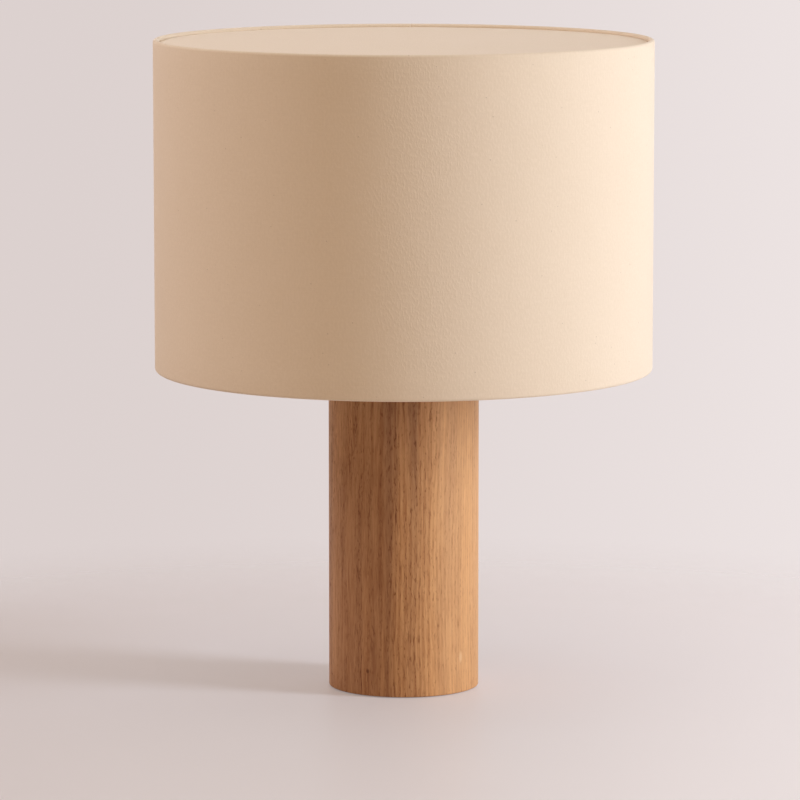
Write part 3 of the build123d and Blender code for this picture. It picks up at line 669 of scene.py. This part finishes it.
# Studio: a paper sweep whose floor fades into the air's own pale tone, a soft key from the right, a fill
# from the left and a top light
sweepLook = {
    "level": -0.0003,
    "bendFrom": 1.0,
    "bendRadius": 0.42,
    "bendSteps": 24,
    "front": -7.0,
    "top": 3.6,
    "halfWidth": 5.0,
    "leftTo": -0.55,
    "rightFrom": 0.55,
    "cloud": (6, 6, 6),
    "cloudSway": 0.1,  # how far the change from left to right wavers
    "floorLeft": (0.760, 0.680, 0.662, 1),
    "floorRight": (0.865, 0.792, 0.768, 1),
    "wall": (0.780, 0.762, 0.790, 1),
    "wallFrom": 0.55,  # height at which the paper has the wall's tone
    "share": 0.36,  # how much of the floor's look comes from its own tone, away from the lamps
    "gloss": 0.12,  # how much of it is a soft mirror
    "glossRough": 0.40,
    "middle": -0.15,  # y of the spot round which the floor fades out
    "fadeFrom": 0.52,
    "fadeTo": 0.90,
}
airLook = {
    "left": (0.716, 0.638, 0.624, 1),
    "right": (0.879, 0.810, 0.804, 1),
    "leftTo": -0.08,  # sideways directions between which the backdrop changes
    "rightFrom": 0.16,
    "light": (0.480, 0.351, 0.222, 1),
}


def seenRays(start):  # 1 for what the camera sees, directly or in metal and glass
    seen = start.node("ShaderNodeLightPath", {}, {}, "Is Camera Ray")
    return smaller(seen + seen.out("Is Glossy Ray") + seen.out("Is Transmission Ray"), 1.0)


def sweepFinish():
    material, start = startFinish("paperSweep")
    place = objectPlace(start)
    x = place.node("ShaderNodeSeparateXYZ", {}, {0: place})
    back = x.out("Y") - sweepLook["middle"]
    seen = seenRays(start)
    waver = sweepLook["cloudSway"] * (noise(place, sweepLook["cloud"], 3.0) - 0.5)
    side = ease(x + waver, sweepLook["leftTo"], sweepLook["rightFrom"])
    rise = ease(x.out("Z"), 0.0, sweepLook["wallFrom"])
    floor = tint(side, sweepLook["floorLeft"], sweepLook["floorRight"])
    paper = start.node("ShaderNodeBsdfDiffuse", {}, {"Color": tint(rise, floor, sweepLook["wall"])})
    glow = start.node("ShaderNodeEmission", {}, {"Color": tint(side, airLook["left"], airLook["right"])})
    surface = start.node("ShaderNodeMixShader", {}, {0: seen * sweepLook["share"], 1: paper, 2: glow})
    mirror = start.node("ShaderNodeBsdfAnisotropic", {}, {
        "Color": (1, 1, 1, 1), "Roughness": sweepLook["glossRough"]})
    surface = start.node("ShaderNodeMixShader", {}, {0: seen * sweepLook["gloss"], 1: surface, 2: mirror})
    faded = ease(span(x, back), sweepLook["fadeFrom"], sweepLook["fadeTo"])
    faded = larger(faded, start.node("ShaderNodeNewGeometry", {}, {}, "Backfacing"))
    clear = start.node("ShaderNodeBsdfTransparent")
    surface = start.node("ShaderNodeMixShader", {}, {0: seen * faded, 1: surface, 2: clear})
    start.node("ShaderNodeOutputMaterial", {}, {"Surface": surface})
    return material


def airFinish():
    air = bpy.data.worlds.new("studioAir")
    air.use_nodes = True
    air.node_tree.nodes.clear()
    start = Wire(air.node_tree)
    toward = start.node("ShaderNodeTexCoord", {}, {}, "Generated")
    x = start.node("ShaderNodeSeparateXYZ", {}, {0: toward})
    backdrop = tint(ease(x, airLook["leftTo"], airLook["rightFrom"]), airLook["left"], airLook["right"])
    colour = tint(seenRays(start), airLook["light"], backdrop)
    shown = start.node("ShaderNodeBackground", {}, {"Color": colour})
    start.node("ShaderNodeOutputWorld", {}, {"Surface": shown})
    return air


def addSweep():
    bendSteps = sweepLook["bendSteps"]
    radius = sweepLook["bendRadius"]
    level = sweepLook["level"]
    profile = [(sweepLook["front"], level)]
    for step in range(bendSteps + 1):
        turn = 0.5 * pi * step / bendSteps
        profile.append((sweepLook["bendFrom"] + radius * sin(turn), level + radius - radius * cos(turn)))
    profile.append((sweepLook["bendFrom"] + radius, sweepLook["top"]))
    half = sweepLook["halfWidth"]
    corners = [(x, y, z) for y, z in profile for x in (-half, half)]
    faces = [(2 * i, 2 * i + 1, 2 * i + 3, 2 * i + 2) for i in range(len(profile) - 1)]
    mesh = bpy.data.meshes.new("paperSweep")
    mesh.from_pydata(corners, [], faces)
    mesh.polygons.foreach_set("use_smooth", [True] * len(faces))
    mesh.materials.append(sweepFinish())
    sweep = bpy.data.objects.new("paperSweep", mesh)
    bpy.context.scene.collection.objects.link(sweep)
    return sweep


keyLamp = dict(at=(2.27, -0.70, 0.94), wide=0.6, tall=1.4, power=48.0, colour=(0.722, 0.844, 1.0))
studioLamps = {
    "key": dict(keyLamp, onSweep="EXCLUDE"),
    "keyOnSweep": dict(keyLamp, power=66.0, onSweep="INCLUDE"),  # for the paper alone, with no glare
    "fill": dict(at=(-2.00, 0.10, 1.75), wide=1.0, tall=1.0, power=23.6, colour=(0.910, 0.896, 1.0),
                 onSweep="EXCLUDE"),  # so that the paper shows one shadow
    "top": dict(at=(0.0, 0.0, 2.6), wide=2.0, tall=2.0, power=9.4, colour=(0.56, 0.775, 1.0)),
}
aimHeight = 0.33  # of the point on the axis that every light looks at


def addLamp(name, lamp, sweep):
    light = bpy.data.lights.new(name, "AREA")
    light.energy = lamp["power"]
    light.shape = "RECTANGLE"
    light.size = lamp["wide"]
    light.size_y = lamp["tall"]
    light.color = lamp["colour"]
    holder = bpy.data.objects.new(name, light)
    bpy.context.scene.collection.objects.link(holder)
    holder.location = lamp["at"]
    holder.visible_camera = False
    aim = holder.location.copy()
    aim.z -= aimHeight
    holder.rotation_euler = aim.to_track_quat("Z", "Y").to_euler()
    if "onSweep" in lamp:
        lit = bpy.data.collections.new(name + "Lit")
        lit.objects.link(sweep)
        lit.collection_objects[0].light_linking.link_state = lamp["onSweep"]
        holder.light_linking.receiver_collection = lit
        holder.visible_glossy = lamp["onSweep"] == "EXCLUDE"


paperSweep = addSweep()
for name, lamp in studioLamps.items():
    addLamp(name, lamp, paperSweep)
scene = bpy.context.scene
scene.world = airFinish()
scene.view_settings.view_transform = "Standard"

photoCamera = {"lens": 221.14, "sensor": 36.0, "at": (-0.0030, -3.9231, 0.7700), "tilt": 7.803}
viewpoint = bpy.data.cameras.new("photoCamera")
viewpoint.lens = photoCamera["lens"]
viewpoint.sensor_width = photoCamera["sensor"]
cameraHolder = bpy.data.objects.new("photoCamera", viewpoint)
scene.collection.objects.link(cameraHolder)
cameraHolder.location = photoCamera["at"]
cameraHolder.rotation_euler = (radians(90 - photoCamera["tilt"]), 0, 0)
scene.camera = cameraHolder
print("studio: sweep,", len(studioLamps), "lamps, camera")

bpy.context.view_layer.update()
